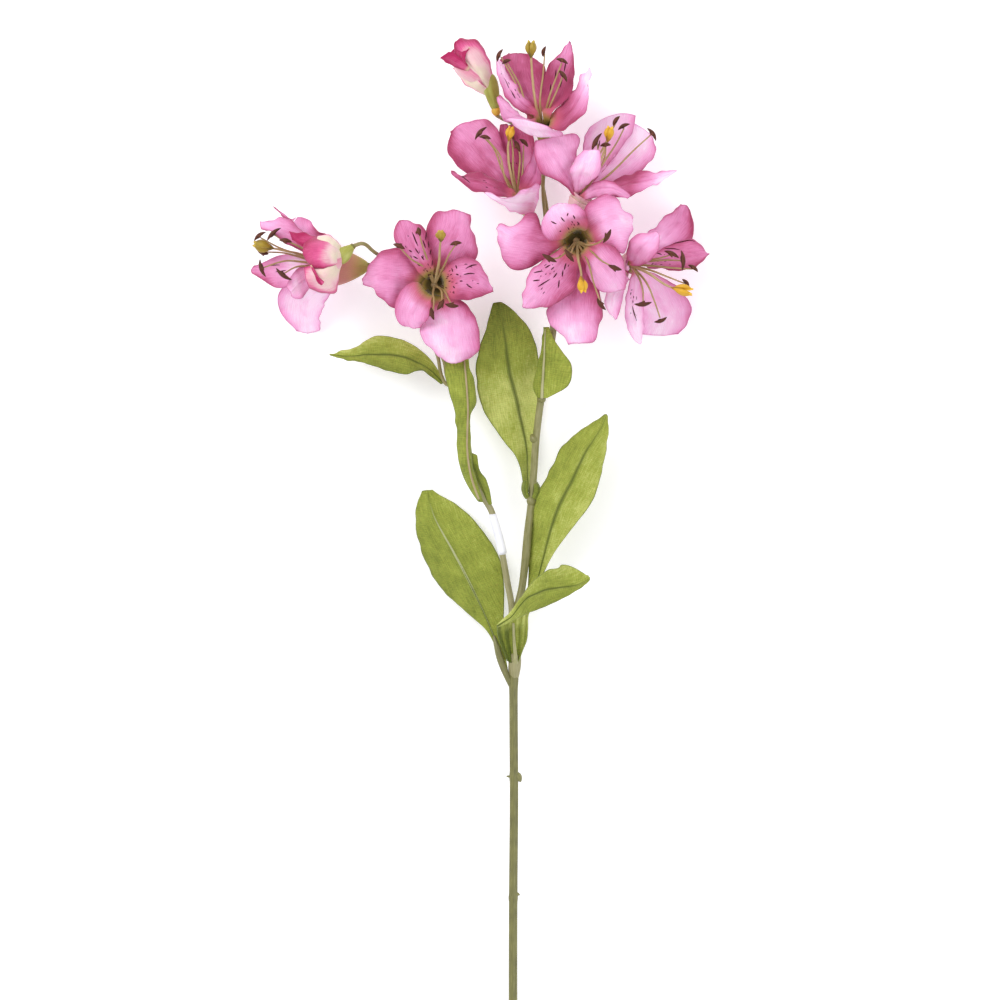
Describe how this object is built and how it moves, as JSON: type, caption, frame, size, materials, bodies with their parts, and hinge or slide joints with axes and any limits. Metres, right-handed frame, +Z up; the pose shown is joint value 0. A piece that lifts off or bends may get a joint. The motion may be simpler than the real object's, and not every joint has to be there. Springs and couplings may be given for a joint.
{
  "type": "artificial alstroemeria spray",
  "caption": "Lying fabric lily-of-the-Incas spray: a forked stem with open pink flowers, buds and narrow leaves, for filling a vase or arrangement.",
  "frame": {"origin": "middle of the footprint, on the ground plane that the spray lies on", "axes": "+Y along the stem towards the flowers, +X to the flower side's right seen from above, +Z up off the ground"},
  "size_m": [0.2722, 0.6812, 0.0813],
  "materials": {
    "petal_fabric": "matt woven cloth, pale to deep pink, brushed dark streaks on the inner petals",
    "bud_fabric": "matt woven cloth, magenta fading to cream",
    "leaf_fabric": "matt woven cloth, yellow-green with a darker midrib",
    "stem_plastic": "satin olive moulding",
    "calyx_plastic": "satin yellow-olive moulding",
    "stamen_plastic": "khaki filaments with dark brown anthers and a yellow stigma",
    "band_paper": "plain white wrap, nothing printed"
  },
  "bodies": {
    "root": {"flower_a_stamens": "stamen_plastic", "flower_a_calyx": "calyx_plastic", "flower_a_inner_whorl": "petal_fabric", "flower_a_outer_whorl": "petal_fabric", "flower_a_stalk": "stem_plastic", "flower_b_stamens": "stamen_plastic", "flower_b_calyx": "calyx_plastic", "flower_b_inner_whorl": "petal_fabric", "flower_b_outer_whorl": "petal_fabric", "flower_b_stalk": "stem_plastic", "flower_c_stamens": "stamen_plastic", "flower_c_calyx": "calyx_plastic", "flower_c_inner_whorl": "petal_fabric", "flower_c_outer_whorl": "petal_fabric", "flower_c_stalk": "stem_plastic", "flower_d_stamens": "stamen_plastic", "flower_d_calyx": "calyx_plastic", "flower_d_inner_whorl": "petal_fabric", "flower_d_outer_whorl": "petal_fabric", "flower_d_stalk": "stem_plastic", "flower_e_stamens": "stamen_plastic", "flower_e_calyx": "calyx_plastic", "flower_e_inner_whorl": "petal_fabric", "flower_e_outer_whorl": "petal_fabric", "flower_e_stalk": "stem_plastic", "flower_f_stamens": "stamen_plastic", "flower_f_calyx": "calyx_plastic", "flower_f_inner_whorl": "petal_fabric", "flower_f_outer_whorl": "petal_fabric", "flower_f_stalk": "stem_plastic", "flower_g_stamens": "stamen_plastic", "flower_g_calyx": "calyx_plastic", "flower_g_inner_whorl": "petal_fabric", "flower_g_outer_whorl": "petal_fabric", "flower_g_stalk": "stem_plastic", "bud_1_petals": "bud_fabric", "bud_1_calyx": "calyx_plastic", "bud_1_stalk": "stem_plastic", "bud_2_petals": "bud_fabric", "bud_2_calyx": "calyx_plastic", "bud_2_stalk": "stem_plastic", "main_stem": "stem_plastic", "left_branch": "stem_plastic", "right_branch": "stem_plastic", "label_band": "band_paper", "leaf_1": "leaf_fabric", "leaf_2": "leaf_fabric", "leaf_3": "leaf_fabric", "leaf_4": "leaf_fabric", "leaf_5": "leaf_fabric", "leaf_6": "leaf_fabric", "leaf_7": "leaf_fabric", "leaf_8": "leaf_fabric"}
  },
  "joints": []
}
